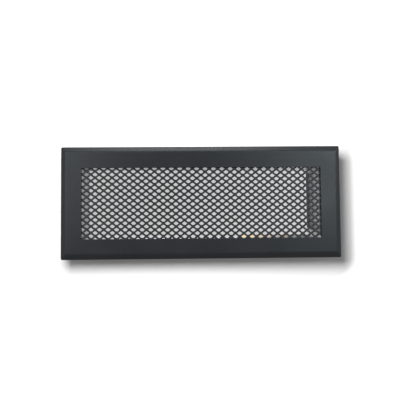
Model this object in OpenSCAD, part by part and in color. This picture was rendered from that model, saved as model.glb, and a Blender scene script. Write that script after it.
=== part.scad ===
// Fireplace vent grille: a folded steel front with a diamond mesh behind it,
// and a four-rail wall frame that the front is pushed into and that four leaf
// springs hold it in.
// The wall is the plane y = 0. The front looks along -Y, +X is to its right as
// seen from the room, and +Z is up. Millimetres.

/* [Front plate] */
// Overall width of the front
face_w = 334; // [260:1:420]
// Overall height of the front
face_h = 134; // [125:0.5:220]
// Distance from the wall to the front surface
face_d = 9; // [8.5:0.25:14]
// Width of the border left and right of the opening
side_border = 25.75; // [24:0.25:34]
// Width of the border above and below the opening, on average
top_border = 25.25; // [24.5:0.25:30]
// How far the opening sits below the middle of the front
open_down = 0.75; // [0:0.25:0.75]
// Thickness of the front's sheet
face_t = 1; // [0.8:0.1:1.2]
// Width of the sloping edge, seen from the front
bevel_w = 6.5; // [5:0.25:7.5]
// How far back the sloping edge falls
bevel_d = 5; // [3.5:0.25:5.5]
// Outer radius of the soft bend between flat border and sloping edge
bend_r = 6; // [2.5:0.25:7]
// Outer radius of the bend between sloping edge and rim
rim_r = 1.6; // [1.4:0.1:2]
// Rounding of the four outer corners, seen from the front
corner_r = 2; // [1.2:0.1:3]

/* [Mesh] */
// Long pitch of the diamonds, left to right
mesh_long = 10; // [9.5:0.5:12]
// Short pitch of the diamonds, top to bottom
mesh_short = 7.63; // [7.4:0.01:9]
// Clear width of a diamond
hole_w = 6.2; // [5.6:0.1:6.8]
// Clear height of a diamond
hole_h = 4; // [3.6:0.1:4.6]
// Length of the blunt top and bottom of a diamond
bond_l = 2; // [1:0.1:2.4]
// Overall thickness of the mesh
mesh_t = 1.6; // [1:0.1:1.8]
// How far the mesh reaches behind the border on each side
mesh_lap = 4.5; // [4:0.5:7]
// How far the mesh was welded on out of square, clockwise, in degrees
mesh_turn = 0.62; // [0:0.02:1]
// How far the columns of diamonds lean, in degrees
mesh_lean = 0.19; // [0:0.01:0.5]
// Middle of the diamond nearest the centre, across
mesh_x = -0.6; // [-5:0.1:5]
// Middle of the diamond nearest the centre, up
mesh_z = -1.9; // [-4:0.1:4]

/* [Wall frame] */
// How far the side walls stand outside the opening
duct_gap_x = 1.75; // [0.75:0.25:3]
// How far the long walls stand outside the opening
duct_gap_z = 1; // [0.75:0.25:2]
// How far the walls of the rails reach into the wall
duct_d = 32; // [26:1:60]
// Thickness of the galvanised sheet
rail_t = 0.7; // [0.6:0.1:0.9]
// Outer radius of the bend between flange and wall
rail_r = 1.3; // [1.1:0.1:1.6]
// Width of a rail's flange
flange_w = 14.7; // [12:0.1:15]
// Diameter of the wall screw holes
screw_d = 4.5; // [4:0.1:5.5]
// Distance of the wall screws from the side walls
screw_in = 23; // [16:1:34]
// Cut-back of a wall's ends at the flange
cut_front = 3.5; // [2:0.5:6]
// Cut-back of a wall's ends at the back edge
cut_back = 5; // [3:0.5:8]
// Cut-back at the back edge of the right wall's lower end and the top wall's left end
cut_deep = 9.5; // [5:0.5:12]

/* [Springs] */
// Distance of a spring's middle from the side wall
spring_in = 52; // [46:1:70]
// Width of the spring strip
spring_w = 12; // [8:1:16]
// Thickness of the spring strip
spring_t = 0.5; // [0.4:0.05:0.6]
// How far a spring reaches into the wall frame
spring_d = 15; // [12:1:24]

/* [Hidden] */
$fn = 48;

open_w = face_w - 2 * side_border;
open_h = face_h - 2 * top_border;
front_y = -face_d;
back_y = -face_d + face_t;              // back of the flat border
slope = atan(bevel_d / bevel_w);
edge_in = bevel_w + bend_r * tan(slope / 2);            // where the first bend starts
edge_lap = edge_in + 2;
rim_y = -face_d + bevel_d + rim_r * tan((90 - slope) / 2);  // where the straight rim starts
duct_w = open_w + 2 * duct_gap_x;
duct_h = open_h + 2 * duct_gap_z;
screw_dx = duct_w - 2 * screw_in;
screw_z = duct_h / 2 + flange_w / 2 + rail_t / 2;
spring_x = duct_w / 2 - spring_in;

graphite = [0.22, 0.235, 0.25];
mesh_black = [0.13, 0.135, 0.145];
zinc = [0.66, 0.68, 0.69];
spring_grey = [0.5, 0.51, 0.52];

// ---- bent sheet: the outline of a strip that follows a path with round bends ----

function unit(v) = v / norm(v);
function left(v) = [-v[1], v[0]];
function turned(v, a) = [v[0] * cos(a) - v[1] * sin(a), v[0] * sin(a) + v[1] * cos(a)];

// points round the bend at b, on a line d to the left of the path, whose own bend has radius r
function bend(a, b, c, r, d, n) =
    let (u = unit(b - a), w = unit(c - b),
         side = cross(u, w) >= 0 ? 1 : -1,
         angle = acos(max(-1, min(1, u * w))),
         start = b - r * tan(angle / 2) * u,
         centre = start + side * r * left(u))
    [for (i = [0:n]) centre - side * (r - side * d) * left(turned(u, side * angle * i / n))];

function flank(path, r, d, n) =
    let (last = len(path) - 1)
    concat([path[0] + d * left(unit(path[1] - path[0]))],
           [for (i = [1:1:last - 1], p = bend(path[i - 1], path[i], path[i + 1], r[i - 1], d, n)) p],
           [path[last] + d * left(unit(path[last] - path[last - 1]))]);

function reversed(list) = [for (i = [len(list) - 1:-1:0]) list[i]];

// a strip between the lines d0 and d1 to the left of path
module strip(path, r, d0, d1, n = 5) {
    polygon(concat(flank(path, r, d0, n), reversed(flank(path, r, d1, n))));
}

// a flat shape drawn in x and z, standing between y0 and y1
module upright(y0, y1) {
    translate([0, y1, 0]) rotate([90, 0, 0]) linear_extrude(height = y1 - y0) children();
}

module round_rect(w, h, r) {
    square([w - 2 * r, h], center = true);
    square([w, h - 2 * r], center = true);
    for (x = [-1, 1], z = [-1, 1]) translate([x * (w / 2 - r), z * (h / 2 - r)]) circle(r);
}

// ---- front ----

// the bent edge along one side, with a little of the flat border: it stands at x = half,
// y is depth, and its ends are mitred
module bent_edge(length, half) {
    intersection() {
        translate([half, 0, 0]) linear_extrude(height = length, center = true)
            strip([[-edge_lap, front_y], [-bevel_w, front_y], [0, front_y + bevel_d], [0, rim_y + 0.2]],
                  [bend_r, rim_r], 0, face_t, 6);
        upright(front_y - 1, 1)
            polygon([[half, length / 2], [half, -length / 2],
                     [half - edge_lap, edge_lap - length / 2], [half - edge_lap, length / 2 - edge_lap]]);
    }
}

module face_frame() {
    color(graphite) intersection() {
        union() {
            // flat border round the opening
            upright(front_y, back_y) difference() {
                square([face_w - 2 * edge_in - 2, face_h - 2 * edge_in - 2], center = true);
                translate([0, -open_down]) square([open_w, open_h], center = true);
            }
            bent_edge(face_h, face_w / 2);
            mirror([1, 0, 0]) bent_edge(face_h, face_w / 2);
            rotate([0, -90, 0]) bent_edge(face_w, face_h / 2);
            mirror([0, 0, 1]) rotate([0, -90, 0]) bent_edge(face_w, face_h / 2);
            // straight rim that stands on the wall
            upright(rim_y, 0) difference() {
                square([face_w, face_h], center = true);
                round_rect(face_w - 2 * face_t, face_h - 2 * face_t, corner_r - face_t + 0.2);
            }
        }
        upright(front_y - 1, 1) round_rect(face_w, face_h, corner_r);
    }
}

// ---- mesh ----

row_dir = [cos(mesh_turn), -sin(mesh_turn)];
col_dir = [sin(mesh_lean), -cos(mesh_lean)];
half_long = mesh_long / 2;
half_short = mesh_short / 2;
mesh_w = open_w + 2 * mesh_lap;
mesh_h = open_h + 2 * mesh_lap;
cols = ceil(mesh_w / mesh_long) + 2;
rows = ceil(mesh_h / mesh_short) + 2;

function mesh_point(u, v) = [mesh_x, mesh_z] + u * row_dir + v * col_dir;

module diamond(u, v) {
    flat = bond_l / 2;
    polygon([mesh_point(u - hole_w / 2, v), mesh_point(u - flat, v - hole_h / 2),
             mesh_point(u + flat, v - hole_h / 2), mesh_point(u + hole_w / 2, v),
             mesh_point(u + flat, v + hole_h / 2), mesh_point(u - flat, v + hole_h / 2)]);
}

module mesh_panel() {
    color(mesh_black) upright(back_y, back_y + mesh_t) difference() {
        translate([0, -open_down]) square([mesh_w, mesh_h], center = true);
        for (i = [-cols:cols], j = [-rows:rows])
            if ((i + j) % 2 == 0) {
                p = mesh_point(i * half_long, j * half_short);
                if (abs(p[0]) < mesh_w / 2 + half_long && abs(p[1] + open_down) < mesh_h / 2 + half_short)
                    diamond(i * half_long, j * half_short);
            }
    }
}

// ---- wall frame ----

// flange and wall of a rail: x runs outwards from the duct, y is depth, y0 the flange's front
module rail_profile(y0) {
    strip([[flange_w, y0], [0, y0], [0, duct_d]], [rail_r], 0, -rail_t, 5);
}

// what is cut off one end of a wall and its bend, drawn for the +z end of a rail of that
// half length: cf at the flange, cb at the back edge
module end_cut(half, out, cf, cb) {
    translate([out - 1, 0, 0]) rotate([90, 0, 90]) linear_extrude(height = rail_r + 1)
        polygon([[-3, half - cf], [0, half - cf], [duct_d, half - cb], [duct_d + 1, half - cb],
                 [duct_d + 1, half + 30], [-3, half + 30]]);
}

// a rail standing along z at x = out, with its two wall ends cut back from half
module rail(out, length, half, y0, top_cut, bottom_cut) {
    difference() {
        translate([out, 0, 0]) linear_extrude(height = length, center = true) rail_profile(y0);
        end_cut(half, out, cut_front, top_cut);
        mirror([0, 0, 1]) end_cut(half, out, cut_front, bottom_cut);
    }
}

// a long rail, drawn as the top one; left_cut and right_cut at its back corners
module long_rail(left_cut, right_cut) {
    difference() {
        // turned so that x becomes up and z becomes left
        rotate([0, -90, 0])
            rail(duct_h / 2, duct_w + 2 * flange_w, duct_w / 2, -rail_t, left_cut, right_cut);
        for (x = [-screw_dx / 2, screw_dx / 2]) translate([x, 1, screw_z]) rotate([90, 0, 0])
            cylinder(d = screw_d, h = rail_t + 2);
    }
}

module side_rail(top_cut, bottom_cut) {
    rail(duct_w / 2, duct_h + 2 * flange_w, duct_h / 2, -2 * rail_t, top_cut, bottom_cut);
}

module rail_top() { color(zinc) long_rail(cut_deep, cut_back); }
module rail_bottom() { color(zinc) mirror([0, 0, 1]) long_rail(cut_back, cut_back); }
module rail_right() { color(zinc) side_rail(cut_back, cut_deep); }
module rail_left() { color(zinc) mirror([1, 0, 0]) side_rail(cut_back, cut_back); }

// ---- springs ----

// leaf spring of the top row, centred on x = 0: foot on the back of the border, over the
// mesh's edge, round into the wall frame and bowed out against its long rail
module leaf_spring() {
    mid = spring_t / 2;
    wall_z = duct_h / 2;
    foot_y = back_y + mid;
    over_y = back_y + mesh_t + 0.3 + mid;
    foot_z = open_h / 2 + open_down + mesh_lap + 2.5;
    leg_z = wall_z - 0.5 - mid;
    bow_y = spring_d * 0.45;
    // drawn with x as height and y as depth, then turned up
    rotate([0, -90, 0]) linear_extrude(height = spring_w, center = true)
        strip([[face_h / 2 - edge_in - 0.6, foot_y], [foot_z, foot_y], [foot_z - 1.8, over_y],
               [leg_z, over_y], [leg_z, 1.5], [wall_z - mid, bow_y],
               [wall_z - mid, bow_y + 2], [wall_z - 1.3, spring_d]],
              [0.4, 0.4, 1.3, 3, 2, 2], mid, -mid, 4);
}

module spring_top_left() { color(spring_grey) translate([-spring_x, 0, 0]) leaf_spring(); }
module spring_top_right() { color(spring_grey) translate([spring_x, 0, 0]) leaf_spring(); }
module spring_bottom_left() { color(spring_grey) mirror([0, 0, 1]) translate([-spring_x, 0, 0]) leaf_spring(); }
module spring_bottom_right() { color(spring_grey) mirror([0, 0, 1]) translate([spring_x, 0, 0]) leaf_spring(); }

face_frame();
mesh_panel();
rail_top();
rail_bottom();
rail_left();
rail_right();
spring_top_left();
spring_top_right();
spring_bottom_left();
spring_bottom_right();
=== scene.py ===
import math

import bmesh
import bpy
from mathutils import Matrix, Vector


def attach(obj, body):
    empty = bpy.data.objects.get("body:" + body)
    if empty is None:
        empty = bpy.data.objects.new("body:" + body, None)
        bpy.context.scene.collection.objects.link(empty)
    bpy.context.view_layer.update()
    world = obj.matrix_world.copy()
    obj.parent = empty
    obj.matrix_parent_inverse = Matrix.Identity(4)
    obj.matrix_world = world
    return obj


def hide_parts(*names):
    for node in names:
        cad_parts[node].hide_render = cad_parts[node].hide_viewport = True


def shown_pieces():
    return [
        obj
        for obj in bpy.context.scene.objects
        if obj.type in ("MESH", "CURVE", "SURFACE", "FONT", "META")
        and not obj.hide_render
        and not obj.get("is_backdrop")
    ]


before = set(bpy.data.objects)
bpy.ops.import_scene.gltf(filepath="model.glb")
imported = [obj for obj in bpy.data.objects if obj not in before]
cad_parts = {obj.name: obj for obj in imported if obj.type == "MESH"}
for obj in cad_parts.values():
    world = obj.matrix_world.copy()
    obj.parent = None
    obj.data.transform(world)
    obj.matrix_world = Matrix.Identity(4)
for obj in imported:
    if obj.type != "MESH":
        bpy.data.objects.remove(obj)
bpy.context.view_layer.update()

MM = 0.001
scene = bpy.context.scene
rad = math.radians

# ---------------------------------------------------------------- sizes, in mm, as in the part
FACE_W, FACE_H, FACE_D = 334.0, 134.0, 9.0
OPEN_W, OPEN_H, OPEN_DOWN = 282.5, 83.5, 0.75
FACE_T = 1.0
BEVEL_W, BEVEL_D = 6.5, 5.0
BEND_R, RIM_R, CORNER_R = 6.0, 1.6, 2.0
SLOPE = math.atan(BEVEL_D / BEVEL_W)
EDGE_IN = BEVEL_W + BEND_R * math.tan(SLOPE / 2)
RIM_Y = -FACE_D + BEVEL_D + RIM_R * math.tan((math.pi / 2 - SLOPE) / 2)

MESH_Y0, MESH_T, MESH_LAP = -8.0, 1.6, 4.5
HALF_LONG, HALF_SHORT = 5.0, 3.815
HOLE_W, HOLE_H, BOND_TOP, BOND_LOW = 6.05, 3.98, 2.3, 0.95
MESH_X, MESH_Z = -0.6, -1.9
MESH_TURN, MESH_LEAN = rad(0.62), rad(0.19)

DUCT_W, DUCT_H, DUCT_D = 286.0, 85.5, 32.0
RAIL_T, RAIL_R, FLANGE_W = 0.7, 1.3, 14.7
SCREW_D, SCREW_IN = 4.5, 23.0
CUT_FRONT, CUT_BACK, CUT_DEEP = 3.5, 5.0, 9.5
SPRING_IN, SPRING_W, SPRING_T, SPRING_D = 52.0, 12.0, 0.5, 15.0

# brightness of the board, its pad and the lights
BOARD_GLOW, PAD_LEFT, PAD_RIGHT = 1.0, 0.565, 0.655
LAMP_W, LAMP_R, WORLD = 62.0, 0.083, 0.187


# ---------------------------------------------------------------- helpers
def new_object(name, verts, faces, smooth=True, angle=35.0):
    """A mesh object from points in mm."""
    me = bpy.data.meshes.new(name)
    me.from_pydata([(x * MM, y * MM, z * MM) for x, y, z in verts], [], faces)
    me.validate()
    bm = bmesh.new()
    bm.from_mesh(me)
    bmesh.ops.recalc_face_normals(bm, faces=bm.faces)
    bm.to_mesh(me)
    bm.free()
    if smooth:
        me.shade_smooth()
        me.set_sharp_from_angle(angle=rad(angle))
    ob = bpy.data.objects.new(name, me)
    scene.collection.objects.link(ob)
    return ob


def wave(x, z):
    """A slow unevenness of a flat sheet, from 0 to 1."""
    a = math.sin(x * 0.041 + 1.3) * math.cos(z * 0.055 - 0.4)
    b = math.sin(x * 0.023 - z * 0.037 + 2.1)
    c = math.sin(x * 0.087 + z * 0.061 + 0.7)
    return 0.5 + 0.5 * (0.45 * a + 0.35 * b + 0.2 * c)


# ---------------------------------------------------------------- front
def ring(hx, hz, r, dz, nx, nz, nc):
    """Points round a rectangle with rounded corners, the same number whatever its size, dz up."""
    pts = []
    cx, cz = hx - r, hz - r
    for sx, sz, a0 in ((1, 1, 0), (-1, 1, 90), (-1, -1, 180), (1, -1, 270)):
        for i in range(nc + 1):
            a = rad(a0 + 90.0 * i / nc)
            pts.append((sx * cx + r * math.cos(a), sz * cz + r * math.sin(a)))
        if a0 in (0, 180):  # along the top or the bottom
            n = nx
            start, end = pts[-1], (-sx * cx, sz * hz)
        else:
            n = nz
            start, end = pts[-1], (sx * hx, -sz * cz)
        for i in range(1, n):
            t = i / n
            pts.append((start[0] + (end[0] - start[0]) * t, start[1] + (end[1] - start[1]) * t))
    return [(x, z + dz) for x, z in pts]


def front_profile():
    """(half width, half height, corner radius, middle's height, depth, flat) along the folded sheet,
    round to the start."""
    out = []
    ow, oh = OPEN_W / 2, OPEN_H / 2
    ew, eh = FACE_W / 2 - EDGE_IN, FACE_H / 2 - EDGE_IN

    def at_opening(e, y, flat=0):
        out.append((ow + e, oh + e, 0.35 + max(e, 0), -OPEN_DOWN, y, flat))

    def at_edge(d, y, flat=0):
        out.append((FACE_W / 2 - d, FACE_H / 2 - d, max(CORNER_R - d, 0.7), 0.0, y, flat))

    f, b = -FACE_D, -FACE_D + FACE_T
    # the cut edge of the opening, rolled over a little towards the front
    for a in (0, 25, 50, 75, 90):
        at_opening(0.28 - 0.28 * math.cos(rad(a)), f + 0.28 - 0.28 * math.sin(rad(a)))
    at_opening(0.34, f)
    for k in range(1, 6):
        t = k / 6
        out.append((ow + 0.34 + (ew - ow - 0.34) * t, oh + 0.34 + (eh - oh - 0.34) * t, 0.69,
                    -OPEN_DOWN * (1 - t), f, 1))
    at_edge(EDGE_IN + 0.05, f)
    n = 9
    for k in range(n + 1):
        a = SLOPE * k / n
        at_edge(EDGE_IN - BEND_R * math.sin(a), f + BEND_R * (1 - math.cos(a)))
    lo = (EDGE_IN - BEND_R * math.sin(SLOPE), f + BEND_R * (1 - math.cos(SLOPE)))
    hi = (RIM_R * (1 - math.sin(SLOPE)), RIM_Y - RIM_R * math.cos(SLOPE))
    for t in (0.02, 0.5, 0.98):
        at_edge(lo[0] + (hi[0] - lo[0]) * t, lo[1] + (hi[1] - lo[1]) * t)
    n = 8
    for k in range(n + 1):
        a = SLOPE + (math.pi / 2 - SLOPE) * k / n
        at_edge(RIM_R * (1 - math.sin(a)), RIM_Y - RIM_R * math.cos(a))
    at_edge(0, RIM_Y + 0.05)
    at_edge(0, -0.18)
    for a in (20, 45, 70, 90):
        at_edge(0.15 - 0.15 * math.cos(rad(a)), -0.15 + 0.15 * math.sin(rad(a)))
    at_edge(0.5, 0)
    # and back along the inside
    for a in (90, 60, 30, 0):
        at_edge(0.85 + 0.15 * math.cos(rad(a)), -0.15 + 0.15 * math.sin(rad(a)))
    at_edge(FACE_T, RIM_Y + 0.05)
    n = 6
    for k in range(n, -1, -1):
        a = SLOPE + (math.pi / 2 - SLOPE) * k / n
        at_edge(RIM_R - (RIM_R - FACE_T) * math.sin(a), RIM_Y - (RIM_R - FACE_T) * math.cos(a))
    n = 7
    for k in range(n, -1, -1):
        a = SLOPE * k / n
        at_edge(EDGE_IN - (BEND_R - FACE_T) * math.sin(a), f + BEND_R - (BEND_R - FACE_T) * math.cos(a))
    at_edge(EDGE_IN + 0.06, b)
    at_opening(0.14, b)
    at_opening(0.05, b - 0.05)
    at_opening(0, b - 0.14)
    return out


def front_plate():
    nx, nz, nc = 72, 28, 8
    prof = front_profile()
    verts, rings = [], []
    for hx, hz, r, dz, y, flat in prof:
        ids = []
        for x, z in ring(hx, hz, r, dz, nx, nz, nc):
            ids.append(len(verts))
            verts.append((x, y + (0.06 * wave(x, z) if flat else 0), z))
        rings.append(ids)
    faces = []
    n = len(rings[0])
    for i in range(len(rings)):
        a, b = rings[i], rings[(i + 1) % len(rings)]
        for k in range(n):
            q = (k + 1) % n
            faces.append((a[k], a[q], b[q], b[k]))
    return new_object("front_plate", verts, faces, angle=60)


# ---------------------------------------------------------------- expanded mesh
def mesh_place(u, v):
    """A point of the mesh's own lattice in the row's frame: u along a row, v down a column."""
    x = MESH_X + u * math.cos(MESH_TURN) + v * math.sin(MESH_LEAN)
    z = MESH_Z - u * math.sin(MESH_TURN) - v * math.cos(MESH_LEAN)
    return x, z


STRAND_T = 0.95      # sheet thickness before stretching
TILT = rad(11.0)     # lean of every bond and strand, top edge back


def mesh_strands():
    """Every strand runs in a zigzag from bond to bond, and each bond is two strands side by side."""
    mid_y = MESH_Y0 + MESH_T / 2
    half = MESH_T / 2
    top_u = HALF_LONG - HOLE_W / 2          # half length of a bond on its middle line
    over_u = BOND_TOP / 2                   # half length of a bond at the hole above it
    low_u = BOND_LOW / 2                    # half length of a bond at the hole below it
    sw = HALF_SHORT - HOLE_H / 2            # a strand's width at a bond
    nt, st = math.cos(TILT), math.sin(TILT)
    hs = STRAND_T / 2
    verts, faces = [], []
    rows = int((OPEN_H / 2 + MESH_LAP) / HALF_SHORT) + 3
    cols = int((OPEN_W / 2 + MESH_LAP) / (2 * HALF_LONG)) + 3

    for j in range(-rows, rows):
        v0 = j * HALF_SHORT                  # level of the upper bonds, v0 + HALF_SHORT of the lower
        par = (j + 1) % 2                    # bonds sit where i + j is odd
        stations = []                        # (upper corner u, v) (lower corner u, v) at_peak
        for c in range(-cols, cols + 1):
            up = (2 * c + par) * HALF_LONG   # an upper bond of this strand
            lp = up + HALF_LONG              # the next lower bond
            stations.append(((up - top_u, v0), (up - low_u, v0 + sw), 1))
            stations.append(((up + top_u, v0), (up + low_u, v0 + sw), 1))
            stations.append(((lp - over_u, v0 + HALF_SHORT - sw), (lp - top_u, v0 + HALF_SHORT), 0))
            stations.append(((lp + over_u, v0 + HALF_SHORT - sw), (lp + top_u, v0 + HALF_SHORT), 0))
        # depth: each bond is a leaning plate centred on its middle line
        lines = []
        for (uu, uv), (lu, lv), peak in stations:
            mid = v0 if peak else v0 + HALF_SHORT
            lines.append((Vector((uu, uv, -(uv - mid) * math.tan(TILT))),
                          Vector((lu, lv, -(lv - mid) * math.tan(TILT))), peak))
        # round off each bend of the strand
        ring_list = []
        m = len(lines)
        for k in range(m):
            a, b, peak = lines[k]
            if k == 0 or k == m - 1:
                ring_list.append((a, b, peak, 1.0))
                continue
            pa, pb, _ = lines[k - 1]
            qa, qb, _ = lines[k + 1]
            for t, w in ((0.0, 0), (0.5, 1), (1.0, 2)):
                def bend(p0, p1, p2):
                    s = p1 + (p0 - p1).normalized() * 0.4
                    e = p1 + (p2 - p1).normalized() * 0.4
                    return s * (1 - t) ** 2 + p1 * 2 * t * (1 - t) + e * t ** 2
                # 1 on the bond's flat, 0 on the slanting part
                on_flat = (1 - t) if (k % 2 == 1) else t
                ring_list.append((bend(pa, a, qa), bend(pb, b, qb), peak, on_flat))
        rings = []
        for a, b, peak, on_flat in ring_list:
            across = b - a
            across_n = across.normalized()
            # the section's thickness runs square to the leaning plate
            normal = Vector((0, st, nt))     # (u, v, depth)
            ch = 0.13
            c_top = ch * (1 - on_flat) if peak else ch
            c_low = ch * (1 - on_flat) if not peak else ch
            c_top, c_low = max(c_top, 0.004), max(c_low, 0.004)
            pts = []
            for base, c, sgn in ((a, c_top, 1), (b, c_low, -1)):
                pts.append((base + normal * (hs - c), base + across_n * c * sgn + normal * hs,
                            base + across_n * c * sgn - normal * hs, base - normal * (hs - c)))
            (a1, a2, a3, a4), (b1, b2, b3, b4) = pts
            loop = [a1, a2, b2, b1, b4, b3, a3, a4]
            ids = []
            for p in loop:
                x, z = mesh_place(p.x, p.y)
                ids.append(len(verts))
                verts.append((x, mid_y + max(-half, min(half, p.z)), z))
            rings.append(ids)
        for k in range(len(rings) - 1):
            r0, r1 = rings[k], rings[k + 1]
            for i in range(8):
                q = (i + 1) % 8
                faces.append((r0[i], r0[q], r1[q], r1[i]))
        faces.append(tuple(rings[0]))
        faces.append(tuple(reversed(rings[-1])))

    me = bpy.data.meshes.new("mesh_strands")
    me.from_pydata([(x * MM, y * MM, z * MM) for x, y, z in verts], [], faces)
    bm = bmesh.new()
    bm.from_mesh(me)
    # the panel is sheared out of a larger sheet
    hw, hh, dz = (OPEN_W / 2 + MESH_LAP) * MM, (OPEN_H / 2 + MESH_LAP) * MM, -OPEN_DOWN * MM
    for co, no in (((hw, 0, 0), (1, 0, 0)), ((-hw, 0, 0), (-1, 0, 0)),
                   ((0, 0, dz + hh), (0, 0, 1)), ((0, 0, dz - hh), (0, 0, -1))):
        cut = bmesh.ops.bisect_plane(bm, geom=bm.verts[:] + bm.edges[:] + bm.faces[:], dist=1e-8,
                                     plane_co=co, plane_no=no, clear_outer=True)
        edges = [e for e in cut["geom_cut"] if isinstance(e, bmesh.types.BMEdge)]
        bmesh.ops.holes_fill(bm, edges=edges, sides=0)
    bmesh.ops.recalc_face_normals(bm, faces=bm.faces)
    bm.to_mesh(me)
    bm.free()
    me.shade_smooth()
    me.set_sharp_from_angle(angle=rad(28))
    ob = bpy.data.objects.new("mesh_strands", me)
    scene.collection.objects.link(ob)
    return ob


# ---------------------------------------------------------------- wall frame and springs
def thick_sheet(name, points, normals, faces, t0, t1, edge=0.1, angle=30.0, flat=0):
    """A sheet of metal between two offsets of a surface, with its cut edges just broken. The first faces,
    as many as flat says, are flat."""
    n = len(points)
    verts = [tuple(p[k] + q[k] * t for k in range(3)) for t in (t0, t1) for p, q in zip(points, normals)]
    out = [tuple(f) for f in faces] + [tuple(i + n for i in reversed(f)) for f in faces]
    used = {}
    for f in faces:
        for a, b in zip(f, f[1:] + f[:1]):
            used[(a, b)] = used.get((a, b), 0) + 1
    for a, b in used:
        if (b, a) not in used:
            out.append((b, a, a + n, b + n))
    ob = new_object(name, verts, out, angle=angle)
    for i in range(flat):
        ob.data.polygons[i].use_smooth = False
        ob.data.polygons[i + len(faces)].use_smooth = False
    mod = ob.modifiers.new("edge", "BEVEL")
    mod.width = edge * MM
    mod.segments = 2
    mod.limit_method = "ANGLE"
    mod.angle_limit = rad(50)
    mod.harden_normals = True
    return ob


def rail(name, out, length, half, y0, cut_hi, cut_lo, screws, place):
    """An L of sheet: x outwards from the duct, y depth, z along; its walls are cut back at the ends."""
    depth = DUCT_D - y0

    def end(y, cut):
        return half - (CUT_FRONT + (cut - CUT_FRONT) * max(0.0, y) / DUCT_D)

    # the flat flange, with its screw holes, filled inside its outline
    bm = bmesh.new()
    hi, lo = end(0, cut_hi), -end(0, cut_lo)
    cols = 60
    line = [lo + (hi - lo) * i / cols for i in range(cols + 1)]
    x0 = RAIL_R
    loop = [(x0, -length / 2), (x0, lo)] + [(x0 + 0.8, z) for z in line]
    loop += [(x0, hi), (x0, length / 2), (FLANGE_W, length / 2), (FLANGE_W, -length / 2)]
    verts = [bm.verts.new((x, y0, z)) for x, z in loop]
    edges = [bm.edges.new((verts[i], verts[(i + 1) % len(verts)])) for i in range(len(verts))]
    for z in screws:
        cx = FLANGE_W / 2 + RAIL_T / 2
        rim = [bm.verts.new((cx + SCREW_D / 2 * math.cos(rad(a)), y0, z + SCREW_D / 2 * math.sin(rad(a))))
               for a in range(0, 360, 10)]
        edges += [bm.edges.new((rim[i], rim[(i + 1) % len(rim)])) for i in range(len(rim))]
    bmesh.ops.triangle_fill(bm, edges=edges, use_beauty=True, normal=(0, -1, 0))
    bm.verts.index_update()
    points = [tuple(v.co) for v in bm.verts]
    normals = [(0.0, 1.0, 0.0)] * len(points)
    faces = []
    for f in bm.faces:
        ids = [v.index for v in f.verts]
        a, b, c = (Vector(points[i]) for i in ids[:3])
        if (b - a).cross(c - a).y > 0:
            ids.reverse()
        faces.append(ids)
    bm.free()
    flat = len(faces)
    # a narrow strip along the bend, then the bend and the wall
    row = list(range(2, cols + 3))
    new = [1] + [len(points) + i for i in range(cols - 1)] + [cols + 3]
    points += [(x0, y0, z) for z in line[1:-1]]
    normals += [(0.0, 1.0, 0.0)] * (cols - 1)
    for i in range(cols):
        faces.append([row[i], new[i], new[i + 1], row[i + 1]])
    row = new
    bends = 8
    stations = []
    for k in range(1, bends + 1):
        a = rad(90.0 * k / bends)
        stations.append((RAIL_R * (1 - math.sin(a)), y0 + RAIL_R * (1 - math.cos(a)),
                         (math.sin(a), math.cos(a))))
    for k in (0.15, 1, 2, 3, 4, 5, 6, 7, 8):
        stations.append((0.0, y0 + RAIL_R + (depth - RAIL_R) * k / 8, (1.0, 0.0)))
    for x, y, (nx, ny) in stations:
        a, b = -end(y, cut_lo), end(y, cut_hi)
        new = []
        for i in range(cols + 1):
            new.append(len(points))
            points.append((x, y, a + (b - a) * i / cols))
            normals.append((nx, ny, 0.0))
        for i in range(cols):
            faces.append([row[i], new[i], new[i + 1], row[i + 1]])
        row = new
    # every face turned the same way: its normal looks away from the metal
    for f in faces:
        a, b, c = (Vector(points[i]) for i in f[:3])
        if (b - a).cross(c - a).dot(Vector(normals[f[0]])) > 0:
            f.reverse()
    world = [place(out + x, y, z) for x, y, z in points]
    away = [tuple(q - p for p, q in zip(place(0, 0, 0), place(*n))) for n in normals]
    return thick_sheet(name, world, away, faces, 0.0, RAIL_T, flat=flat)


def bent_line(path, radii, n):
    """Points and left-hand normals along a path with round bends."""
    pts = [Vector(p) for p in path]

    def left_of(v):
        return Vector((-v.y, v.x))

    out = [(pts[0], left_of((pts[1] - pts[0]).normalized()))]
    for i in range(1, len(pts) - 1):
        a, b, c, r = pts[i - 1], pts[i], pts[i + 1], radii[i - 1]
        u, w = (b - a).normalized(), (c - b).normalized()
        side = 1 if u.x * w.y - u.y * w.x >= 0 else -1
        ang = math.acos(max(-1.0, min(1.0, u.dot(w))))
        start = b - u * r * math.tan(ang / 2)
        centre = start + left_of(u) * side * r
        for k in range(n + 1):
            t = side * ang * k / n
            v = Vector((u.x * math.cos(t) - u.y * math.sin(t), u.x * math.sin(t) + u.y * math.cos(t)))
            out.append((centre - left_of(v) * side * r, left_of(v)))
    out.append((pts[-1], left_of((pts[-1] - pts[-2]).normalized())))
    return out


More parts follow.
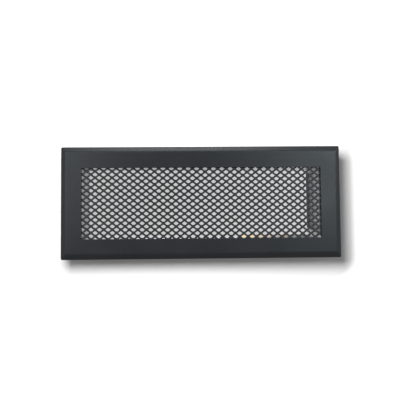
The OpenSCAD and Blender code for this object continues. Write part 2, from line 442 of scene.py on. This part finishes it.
def leaf_spring(name, place):
    """Sprung strip: foot on the border, over the mesh's edge and down into the wall frame."""
    mid = SPRING_T / 2
    wall_z = DUCT_H / 2
    back_y = MESH_Y0
    foot_y, over_y = back_y + mid, back_y + MESH_T + 0.3 + mid
    foot_z = OPEN_H / 2 + OPEN_DOWN + MESH_LAP + 2.5
    leg_z = wall_z - 0.5 - mid
    bow_y = SPRING_D * 0.45
    line = bent_line([(FACE_H / 2 - EDGE_IN - 0.6, foot_y), (foot_z, foot_y), (foot_z - 1.8, over_y),
                      (leg_z, over_y), (leg_z, 1.5), (wall_z - mid, bow_y),
                      (wall_z - mid, bow_y + 2), (wall_z - 1.3, SPRING_D)],
                     [0.4, 0.4, 1.3, 3, 2, 2], 6)
    # more stations on the straight stretches, close together at the two ends, which have round corners
    steps = [0.0]
    for (p, _), (q, _) in zip(line, line[1:]):
        steps.append(steps[-1] + (q - p).length)
    total = steps[-1]
    marks = sorted(set(steps + [0.12, 0.4, 0.9, 1.6, 2.4, 4.0, 5.5] +
                       [total - d for d in (0.12, 0.4, 0.9, 1.6, 2.4)] + [total * k / 14 for k in range(1, 14)]))
    rc = 2.4
    cols = 8
    points, normals, faces = [], [], []
    rows = []
    last = -1.0
    for m in marks:
        if m - last < 0.02 and m != total:
            continue
        last = m
        i = max(k for k in range(len(steps)) if steps[k] <= m + 1e-9)
        i = min(i, len(line) - 2)
        while i > 0 and steps[i + 1] - steps[i] < 1e-9:
            i -= 1
        f = (m - steps[i]) / max(1e-9, steps[i + 1] - steps[i])
        p = line[i][0].lerp(line[i + 1][0], f)
        n = line[i][1].lerp(line[i + 1][1], f).normalized()
        d = min(m, total - m)
        w = SPRING_W / 2
        if d < rc:
            w = w - rc + math.sqrt(max(0.0, rc * rc - (rc - d) ** 2))
        ids = []
        for k in range(cols + 1):
            ids.append(len(points))
            points.append(place(p.x, p.y, -w + 2 * w * k / cols))
            normals.append(tuple(q - o for o, q in zip(place(0, 0, 0), place(n.x, n.y, 0))))
        rows.append(ids)
    for a, b in zip(rows, rows[1:]):
        for k in range(cols):
            faces.append([a[k], a[k + 1], b[k + 1], b[k]])
    return thick_sheet(name, points, normals, faces, -mid, mid, edge=0.07, angle=40.0)


# ---------------------------------------------------------------- materials
class Nodes:
    """Short calls for a material's node tree. Textures read the object's own coordinates, in mm."""

    def __init__(self, name):
        self.mat = bpy.data.materials.new(name)
        self.mat.use_nodes = True
        self.tree = self.mat.node_tree
        self.tree.nodes.clear()
        self.out = self.tree.nodes.new("ShaderNodeOutputMaterial")
        self.bsdf = self.tree.nodes.new("ShaderNodeBsdfPrincipled")
        self.join(self.bsdf.outputs["BSDF"], self.out.inputs["Surface"])
        self.coord = self.tree.nodes.new("ShaderNodeTexCoord").outputs["Object"]

    def join(self, a, b):
        self.tree.links.new(a, b)

    def put(self, socket, value):
        if isinstance(value, bpy.types.NodeSocket):
            self.join(value, socket)
        else:
            socket.default_value = value

    def scaled(self, sx, sy=None, sz=None, turn=(0, 0, 0), source=None):
        """The object's coordinates with one unit every 1/s mm."""
        m = self.tree.nodes.new("ShaderNodeMapping")
        m.inputs["Scale"].default_value = (sx * 1000, (sy or sx) * 1000, (sz or sx) * 1000)
        m.inputs["Rotation"].default_value = turn
        self.join(source or self.coord, m.inputs["Vector"])
        return m.outputs["Vector"]

    def noise(self, vec, scale=1.0, detail=2.0, rough=0.5, distort=0.0):
        n = self.tree.nodes.new("ShaderNodeTexNoise")
        self.join(vec, n.inputs["Vector"])
        n.inputs["Scale"].default_value = scale
        n.inputs["Detail"].default_value = detail
        n.inputs["Roughness"].default_value = rough
        n.inputs["Distortion"].default_value = distort
        return n.outputs["Fac"]

    def voronoi(self, vec, scale=1.0, feature="F1", randomness=1.0):
        n = self.tree.nodes.new("ShaderNodeTexVoronoi")
        n.feature = feature
        self.join(vec, n.inputs["Vector"])
        n.inputs["Scale"].default_value = scale
        n.inputs["Randomness"].default_value = randomness
        return n

    def ramp(self, fac, stops, interpolation="LINEAR"):
        n = self.tree.nodes.new("ShaderNodeValToRGB")
        n.color_ramp.interpolation = interpolation
        e = n.color_ramp.elements
        while len(e) < len(stops):
            e.new(0.5)
        for el, (pos, col) in zip(e, stops):
            el.position = pos
            el.color = (*col, 1) if isinstance(col, tuple) else (col, col, col, 1)
        self.join(fac, n.inputs["Fac"])
        return n.outputs["Color"]

    def math(self, op, a, b=None, c=None, clamp=False):
        n = self.tree.nodes.new("ShaderNodeMath")
        n.operation = op
        n.use_clamp = clamp
        for i, v in enumerate((a, b, c)):
            if v is not None:
                self.put(n.inputs[i], v)
        return n.outputs[0]

    def span(self, value, a, b, c, d):
        """value from a..b to c..d"""
        n = self.tree.nodes.new("ShaderNodeMapRange")
        self.put(n.inputs["Value"], value)
        for k, v in (("From Min", a), ("From Max", b), ("To Min", c), ("To Max", d)):
            n.inputs[k].default_value = v
        return n.outputs["Result"]

    def mix(self, fac, a, b, blend="MIX"):
        n = self.tree.nodes.new("ShaderNodeMix")
        n.data_type = "RGBA"
        n.blend_type = blend
        self.put(n.inputs[0], fac)
        self.put(n.inputs[6], a if isinstance(a, bpy.types.NodeSocket) else (*a, 1))
        self.put(n.inputs[7], b if isinstance(b, bpy.types.NodeSocket) else (*b, 1))
        return n.outputs[2]

    def bump(self, height, distance, strength=1.0, normal=None):
        n = self.tree.nodes.new("ShaderNodeBump")
        n.inputs["Strength"].default_value = strength
        n.inputs["Distance"].default_value = distance
        self.put(n.inputs["Height"], height)
        if normal is not None:
            self.join(normal, n.inputs["Normal"])
        return n.outputs["Normal"]


def powder_coat(name, colour, light, rough=(0.34, 0.46), spec=0.5):
    """Satin powder coat: a fine orange peel, a slow mottle and a few specks of dust."""
    n = Nodes(name)
    slow = n.noise(n.scaled(0.016), detail=3, rough=0.55)
    fine = n.noise(n.scaled(0.9), detail=3, rough=0.6)
    speck = n.voronoi(n.scaled(0.33), feature="F1")
    dust = n.math("LESS_THAN", speck.outputs["Distance"], 0.035)
    col = n.mix(n.span(slow, 0.3, 0.7, 0, 1), colour, light)
    col = n.mix(n.math("MULTIPLY", n.span(fine, 0.35, 0.75, 0, 1), 0.18), col, tuple(min(1, c * 1.6) for c in light))
    col = n.mix(n.math("MULTIPLY", dust, 0.12), col, (0.32, 0.32, 0.31))
    n.put(n.bsdf.inputs["Base Color"], col)
    r = n.math("ADD", n.span(slow, 0.3, 0.7, rough[0], rough[1]), n.span(fine, 0.3, 0.7, -0.03, 0.03))
    n.put(n.bsdf.inputs["Roughness"], r)
    n.bsdf.inputs["Metallic"].default_value = 0.0
    n.bsdf.inputs["Specular IOR Level"].default_value = spec
    peel = n.noise(n.scaled(0.75), detail=1.5, rough=0.45)
    grit = n.noise(n.scaled(3.2), detail=1, rough=0.5)
    b = n.bump(peel, 0.00006, 0.55)
    b = n.bump(grit, 0.000012, 0.5, normal=b)
    n.join(b, n.bsdf.inputs["Normal"])
    return n.mat


def galvanised(name, painted_light_tone=1.0, rough=(0.40, 0.56), relief=0.45, painted_shade=None, duller=0.0):
    """Hot-dip galvanised sheet: flat grey spangles, each a little lighter or duller. The tone factor makes
    the whole sheet lighter or darker, as painted light and shade. The depth table paints the right rail's
    inner face darker towards its back edge, as painted shade, in (place in mm, tone) pairs. duller is how
    much rougher a long rail is on its flange and its outside."""
    n = Nodes(name)
    warp = n.noise(n.scaled(0.25), detail=2)
    vec = n.scaled(0.16)
    add = n.tree.nodes.new("ShaderNodeVectorMath")
    add.operation = "ADD"
    n.join(vec, add.inputs[0])
    comb = n.tree.nodes.new("ShaderNodeCombineXYZ")
    for i in range(3):
        n.join(n.span(warp, 0, 1, -0.25, 0.25), comb.inputs[i])
    n.join(comb.outputs[0], add.inputs[1])
    cell = n.voronoi(add.outputs[0], feature="F1")
    sep = n.tree.nodes.new("ShaderNodeSeparateColor")
    n.join(cell.outputs["Color"], sep.inputs[0])
    tone, tone2 = sep.outputs[0], sep.outputs[1]
    fern = n.noise(n.scaled(1.6), detail=3, rough=0.6, distort=1.2)
    cloud = n.noise(n.scaled(0.03), detail=3)
    col = n.mix(tone, (0.52, 0.535, 0.55), (0.66, 0.67, 0.68))
    col = n.mix(n.math("MULTIPLY", n.span(fern, 0.4, 0.7, 0, 1), 0.25), col, (0.44, 0.455, 0.475))
    col = n.mix(n.math("MULTIPLY", n.span(cloud, 0.45, 0.7, 0, 1), 0.35), col, (0.6, 0.595, 0.58))
    # painted light and shade: the whole sheet made lighter or darker by the tone factor
    if painted_light_tone != 1.0:
        col = n.mix(1.0, col, (painted_light_tone, painted_light_tone, painted_light_tone), blend="MULTIPLY")
    # painted shade: the inner face made darker towards its back edge by the depth table
    if painted_shade:
        at = n.tree.nodes.new("ShaderNodeSeparateXYZ")
        n.join(n.coord, at.inputs[0])
        y = n.math("ADD", at.outputs["Y"], n.span(cloud, 0.3, 0.7, -0.0012, 0.0012))
        shade = n.ramp(n.span(y, 0, DUCT_D * MM, 0, 1), [(d / DUCT_D, t) for d, t in painted_shade])
        inner = n.math("LESS_THAN", at.outputs["X"], (DUCT_W / 2 + RAIL_T / 2) * MM)
        col = n.mix(inner, col, shade, blend="MULTIPLY")
    n.put(n.bsdf.inputs["Base Color"], col)
    n.bsdf.inputs["Metallic"].default_value = 0.85
    r = n.math("ADD", n.span(tone2, 0, 1, rough[0], rough[1]),
               n.span(fern, 0.3, 0.7, -0.09 * relief, 0.11 * relief))
    if duller:
        at = n.tree.nodes.new("ShaderNodeSeparateXYZ")
        n.join(n.coord, at.inputs[0])
        outside = n.math("GREATER_THAN", n.math("ABSOLUTE", at.outputs["Z"]), (DUCT_H / 2 + RAIL_T / 2) * MM)
        r = n.math("ADD", r, n.math("MULTIPLY", outside, duller))
    n.put(n.bsdf.inputs["Roughness"], r)
    h = n.math("ADD", n.math("MULTIPLY", tone2, 0.4), n.math("MULTIPLY", fern, 0.6))
    n.join(n.bump(h, 0.00003, relief), n.bsdf.inputs["Normal"])
    return n.mat


def spring_strip(name):
    """Zinc-plated spring strip, satin bright, with rolling lines and faint clouds."""
    n = Nodes(name)
    lines = n.noise(n.scaled(6.0, 0.12, 0.12), detail=3, rough=0.6)
    slow = n.noise(n.scaled(0.08), detail=3)
    col = n.mix(n.span(lines, 0.3, 0.7, 0, 1), (0.55, 0.56, 0.58), (0.68, 0.69, 0.71))
    col = n.mix(n.math("MULTIPLY", n.span(slow, 0.5, 0.75, 0, 1), 0.4), col, (0.58, 0.57, 0.55))
    n.put(n.bsdf.inputs["Base Color"], col)
    n.bsdf.inputs["Metallic"].default_value = 0.95
    n.put(n.bsdf.inputs["Roughness"], n.span(lines, 0.25, 0.75, 0.24, 0.42))
    n.join(n.bump(lines, 0.00001, 0.4), n.bsdf.inputs["Normal"])
    return n.mat


graphite = powder_coat("graphite_powder_coat", (0.034, 0.036, 0.041), (0.040, 0.042, 0.047))
# the frame's graphite coat, made a little darker on the mesh as painted shade, and rougher
mesh_graphite_painted_shade = powder_coat("mesh_powder_coat", (0.031, 0.032, 0.034), (0.038, 0.039, 0.041), rough=(0.4, 0.52))
# the same galvanised sheet on all four rails, each made lighter or darker as painted light and shade (the bottom
# lightest, the right darkest); the right rail's inner face also gets painted shade towards its back edge
zinc_top = galvanised("galvanised_top_rail", 1.05, (0.22, 0.34), duller=0.22)
zinc_bottom = galvanised("galvanised_bottom_rail", 1.3, (0.17, 0.27), relief=0.12, duller=0.27)
zinc_left = galvanised("galvanised_left_rail", 0.95)
zinc_right = galvanised("galvanised_right_rail", 0.85, painted_shade=(
    (0, 1.0), (6, 0.95), (12, 0.66), (19, 0.55), (26, 0.13), (32, 0.08)))
strip_steel = spring_strip("rolled_spring_steel")

# ---------------------------------------------------------------- pieces
plate = front_plate()
plate.data.materials.append(graphite)
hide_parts("face_frame")
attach(plate, "root")

strands = mesh_strands()
strands.data.materials.append(mesh_graphite_painted_shade)
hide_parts("mesh_panel")
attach(strands, "root")

long_l, side_l = DUCT_W + 2 * FLANGE_W, DUCT_H + 2 * FLANGE_W
screw_x = DUCT_W / 2 - SCREW_IN
for name, zinc, made in (
        ("rail_top", zinc_top,
         rail("top_rail", DUCT_H / 2, long_l, DUCT_W / 2, -RAIL_T, CUT_DEEP, CUT_BACK,
              (-screw_x, screw_x), lambda x, y, z: (-z, y, x))),
        ("rail_bottom", zinc_bottom,
         rail("bottom_rail", DUCT_H / 2, long_l, DUCT_W / 2, -RAIL_T, CUT_BACK, CUT_BACK,
              (-screw_x, screw_x), lambda x, y, z: (-z, y, -x))),
        ("rail_right", zinc_right,
         rail("right_rail", DUCT_W / 2, side_l, DUCT_H / 2, -2 * RAIL_T, CUT_BACK, CUT_DEEP,
              (), lambda x, y, z: (x, y, z))),
        ("rail_left", zinc_left,
         rail("left_rail", DUCT_W / 2, side_l, DUCT_H / 2, -2 * RAIL_T, CUT_BACK, CUT_BACK,
              (), lambda x, y, z: (-x, y, z)))):
    made.data.materials.append(zinc)
    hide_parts(name)
    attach(made, "root")

spring_x = DUCT_W / 2 - SPRING_IN
for side, sx in (("left", -1), ("right", 1)):
    for level, sz in (("top", 1), ("bottom", -1)):
        made = leaf_spring("leaf_%s_%s" % (level, side),
                           lambda h, y, w, sx=sx, sz=sz: (sx * spring_x + w, y, sz * h))
        made.data.materials.append(strip_steel)
        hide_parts("spring_%s_%s" % (level, side))
        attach(made, "root")

# ---------------------------------------------------------------- camera, as fitted to the photograph
yaw, pitch, roll = rad(-0.869), rad(1.642), rad(-0.455)
cy, sy, cp, sp, cr, sr = (math.cos(yaw), math.sin(yaw), math.cos(pitch), math.sin(pitch),
                          math.cos(roll), math.sin(roll))
turn = Matrix(((cy, -sy, 0), (sy, cy, 0), (0, 0, 1))) @ Matrix(((1, 0, 0), (0, cp, -sp), (0, sp, cp)))
right, up, ahead = (turn @ Vector(v) for v in ((1, 0, 0), (0, 0, 1), (0, 1, 0)))
right2 = cr * right + sr * up
up2 = -sr * right + cr * up
cam_data = bpy.data.cameras.new("camera")
cam_data.sensor_width = 36.0
cam_data.lens = 288.92 / 400 * 36.0
cam_data.shift_x = (200 - 175.51) / 400
cam_data.shift_y = (198.68 - 200) / 400
cam_data.clip_start, cam_data.clip_end = 0.01, 20
cam = bpy.data.objects.new("camera", cam_data)
place = Matrix((right2, up2, -ahead)).transposed().to_4x4()
place.translation = Vector((-36.18, -348.35, -5.27)) * MM
cam.matrix_world = place
scene.collection.objects.link(cam)
scene.camera = cam

# ---------------------------------------------------------------- the white board that it lies on
# A plain white board with a light pad let in where the wall frame stands. Neither is there from
# behind, so that the back can be looked at.
BOARD_Y = 0.0322
CARD_GLOW = 1.2
CARD = ((-143, 0.55), (-110, 0.66), (50, 0.59), (56, (0.98, 0.76, 0.47)), (90, (0.66, 0.48, 0.34)),
        (113, (0.31, 0.25, 0.16)), (126, 0.17), (143, 0.0))


def stage_sheet(name, quads, y=BOARD_Y):
    me = bpy.data.meshes.new(name)
    verts, faces = [], []
    for x0, z0, x1, z1 in quads:
        k = len(verts)
        verts += [(x0, y, z0), (x1, y, z0), (x1, y, z1), (x0, y, z1)]
        faces.append((k, k + 1, k + 2, k + 3))
    me.from_pydata(verts, [], faces)
    ob = bpy.data.objects.new(name, me)
    scene.collection.objects.link(ob)
    ob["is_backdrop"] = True
    return ob


def one_sided(m):
    """Clear from behind."""
    clear = m.tree.nodes.new("ShaderNodeBsdfTransparent")
    geo = m.tree.nodes.new("ShaderNodeNewGeometry")
    mixer = m.tree.nodes.new("ShaderNodeMixShader")
    m.join(geo.outputs["Backfacing"], mixer.inputs[0])
    m.join(m.bsdf.outputs["BSDF"], mixer.inputs[1])
    m.join(clear.outputs["BSDF"], mixer.inputs[2])
    m.join(mixer.outputs["Shader"], m.out.inputs["Surface"])


px, pz, far = DUCT_W / 2 * MM, DUCT_H / 2 * MM, 1.6
board = stage_sheet("white_board", [(-far, -far, far, -pz), (-far, pz, far, far),
                                    (-far, -pz, -px, pz), (px, -pz, far, pz)])
pad = stage_sheet("light_pad", [(-px, -pz, px, pz)])

m = Nodes("white_board")
xyz = m.tree.nodes.new("ShaderNodeSeparateXYZ")
m.join(m.coord, xyz.inputs[0])
ax = m.math("ABSOLUTE", xyz.outputs["X"])
az = m.math("ABSOLUTE", xyz.outputs["Z"])
# far from the object the board glows a little, so that it stays white to the picture's edge
ox = m.math("MAXIMUM", m.math("SUBTRACT", ax, FACE_W / 2 * MM), 0.0)
oz = m.math("MAXIMUM", m.math("SUBTRACT", az, FACE_H / 2 * MM), 0.0)
off = m.math("SQRT", m.math("ADD", m.math("MULTIPLY", ox, ox), m.math("MULTIPLY", oz, oz)))
glow = m.math("MULTIPLY", m.span(off, 0.034, 0.070, 0.038, 1.0), BOARD_GLOW)
m.bsdf.inputs["Base Color"].default_value = (0.86, 0.86, 0.86, 1)
m.bsdf.inputs["Roughness"].default_value = 0.9
m.bsdf.inputs["Specular IOR Level"].default_value = 0.0
m.bsdf.inputs["Emission Color"].default_value = (1, 1, 1, 1)
m.put(m.bsdf.inputs["Emission Strength"], glow)
one_sided(m)
board.data.materials.append(m.mat)
# the object isn't lit by it and doesn't mirror it, as on a stand in a dark room
board.visible_diffuse = False
board.visible_glossy = False

m = Nodes("light_pad")
xyz = m.tree.nodes.new("ShaderNodeSeparateXYZ")
m.join(m.coord, xyz.inputs[0])
m.bsdf.inputs["Base Color"].default_value = (0, 0, 0, 1)
m.bsdf.inputs["Specular IOR Level"].default_value = 0.0
m.put(m.bsdf.inputs["Emission Strength"], m.span(xyz.outputs["X"], -0.14, 0.14, PAD_LEFT, PAD_RIGHT))
one_sided(m)
pad.data.materials.append(m.mat)

# a narrow card at the pad's lower edge, seen only as it is mirrored in the bottom rail: white, then
# the colour of straw and fading to dark towards the right
card = stage_sheet("warm_card", [(-px, -pz, px, -pz + 0.010)], BOARD_Y - 0.0004)
card.visible_camera = False
card.visible_diffuse = False
card.visible_shadow = False
m = Nodes("warm_card")
xyz = m.tree.nodes.new("ShaderNodeSeparateXYZ")
m.join(m.coord, xyz.inputs[0])
m.bsdf.inputs["Base Color"].default_value = (0, 0, 0, 1)
m.bsdf.inputs["Specular IOR Level"].default_value = 0.0
shade = m.ramp(m.span(xyz.outputs["X"], -px, px, 0, 1), [((d / DUCT_W) + 0.5, t) for d, t in CARD])
m.put(m.bsdf.inputs["Emission Color"], shade)
m.bsdf.inputs["Emission Strength"].default_value = CARD_GLOW
one_sided(m)
card.data.materials.append(m.mat)


# ---------------------------------------------------------------- lights
object_only = bpy.data.collections.new("object_only")
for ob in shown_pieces():
    object_only.objects.link(ob)
board_only = bpy.data.collections.new("board_only")
board_only.objects.link(board)


def place_light(data, at, to):
    ob = bpy.data.objects.new(data.name, data)
    ob.location = at
    ob.rotation_euler = (Vector(to) - Vector(at)).to_track_quat("-Z", "Y").to_euler()
    scene.collection.objects.link(ob)
    return ob


def panel(name, at, to, w, h, watts, colour=(1, 1, 1), behind=False):
    """A soft panel that lights the object and leaves the board alone. The board doesn't stop the light of
    one that stands behind it."""
    data = bpy.data.lights.new(name, "AREA")
    data.shape = "RECTANGLE"
    data.size, data.size_y = w, h
    data.energy = watts
    data.color = colour
    ob = place_light(data, at, to)
    ob.light_linking.receiver_collection = object_only
    if behind:
        ob.light_linking.blocker_collection = object_only
    return ob


# a round lamp beside the camera, which gives the soft shadow to the right and below; its light
# doesn't fall off with distance, so the board is evenly white
data = bpy.data.lights.new("lamp", "POINT")
data.shadow_soft_size = LAMP_R
data.energy = LAMP_W
data.use_nodes = True
nt = data.node_tree
fall = nt.nodes.new("ShaderNodeLightFalloff")
fall.inputs["Strength"].default_value = 1.0
nt.links.new(fall.outputs["Constant"], nt.nodes["Emission"].inputs["Strength"])
lamp = place_light(data, (-0.095, -0.266, 0.087), (0, 0, 0))
lamp.light_linking.receiver_collection = board_only

panel("right_panel", (0.63, -0.85, 0.30), (0.05, 0, 0), 0.24, 0.80, 2.55, (0.82, 0.94, 1.0))
panel("right_far_panel", (1.0, -0.44, 0.42), (0.1, 0, 0), 0.5, 0.6, 1.7, (0.72, 0.92, 1.0))
panel("left_panel", (-0.66, -0.85, 0.32), (-0.05, 0, 0), 0.30, 0.80, 3.15, (0.88, 0.95, 1.0))
panel("left_far_panel", (-1.05, -0.26, 0.10), (-0.1, 0, 0), 0.5, 0.6, 0.35)
panel("top_panel", (0.0, -0.14, 1.0), (0, 0, 0.05), 0.8, 0.6, 3.15)

panel("back_panel", (0.0, 0.60, 0.95), (0, 0, 0), 0.7, 0.7, 3.8, (1.0, 0.98, 0.95), behind=True)

world = bpy.data.worlds.new("studio")
world.use_nodes = True
world.node_tree.nodes["Background"].inputs["Color"].default_value = (0.96, 0.95, 0.94, 1)
world.node_tree.nodes["Background"].inputs["Strength"].default_value = WORLD
scene.world = world

scene.view_settings.view_transform = "Standard"
scene.view_settings.look = "None"
scene.view_settings.exposure = 0.0
scene.view_settings.gamma = 1.0
